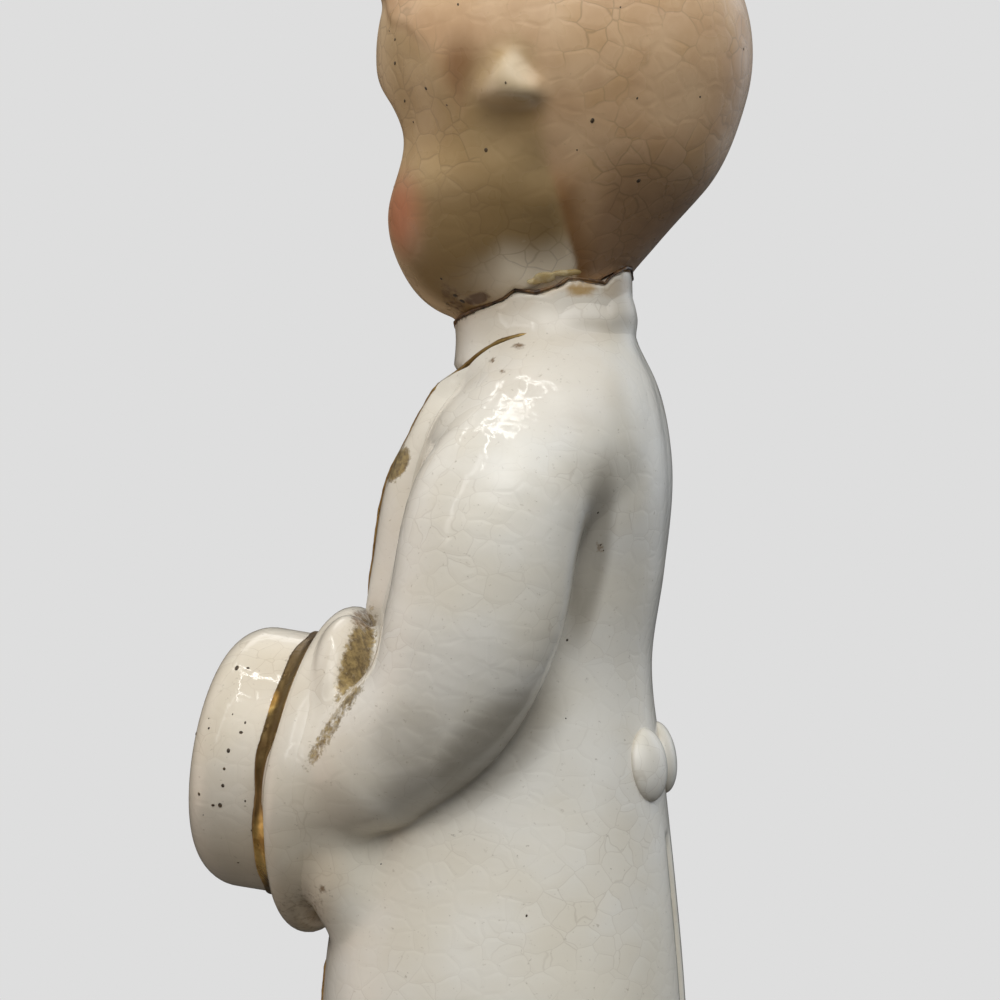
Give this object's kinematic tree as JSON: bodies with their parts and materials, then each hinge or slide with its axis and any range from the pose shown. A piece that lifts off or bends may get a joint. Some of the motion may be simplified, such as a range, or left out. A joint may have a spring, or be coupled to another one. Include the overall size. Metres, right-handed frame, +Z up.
{
  "type": "wedding cake topper figure",
  "caption": "Glazed ceramic bridegroom figure that stands on a wedding cake, in a long white coat with gold edges, holding a top hat by its brim.",
  "frame": {"origin": "on the surface that the soles stand on, under the middle of the figure's outline", "axes": "+Z up, -Y the way the figure's body faces, +X towards the figure's own left hand"},
  "size_m": [0.034, 0.0394, 0.1155],
  "materials": {
    "white_glaze": "clear crazed glaze over a white body",
    "painted_skin": "clear crazed glaze over airbrushed skin and hair",
    "fired_gold": "worn bright gold fired on the glaze",
    "dried_glue": "yellowed clear glue"
  },
  "bodies": {
    "root": {"head_casting": "painted_skin", "neck_glue_bead": "dried_glue", "coat_casting": "white_glaze", "coat_collar": "white_glaze", "shirt_front": "white_glaze", "bow_tie": "white_glaze", "hat_brim": "white_glaze", "hat_crown": "white_glaze", "hat_band": "fired_gold", "hat_lining": "fired_gold", "left_lapel": "white_glaze", "left_lapel_gold": "fired_gold", "left_front_edge_gold": "fired_gold", "left_sleeve": "white_glaze", "left_hand": "white_glaze", "left_tail_button": "white_glaze", "left_trouser_leg": "white_glaze", "left_shoe": "white_glaze", "right_lapel": "white_glaze", "right_lapel_gold": "fired_gold", "right_front_edge_gold": "fired_gold", "right_sleeve": "white_glaze", "right_hand": "white_glaze", "right_tail_button": "white_glaze", "right_trouser_leg": "white_glaze", "right_shoe": "white_glaze"}
  },
  "joints": []
}
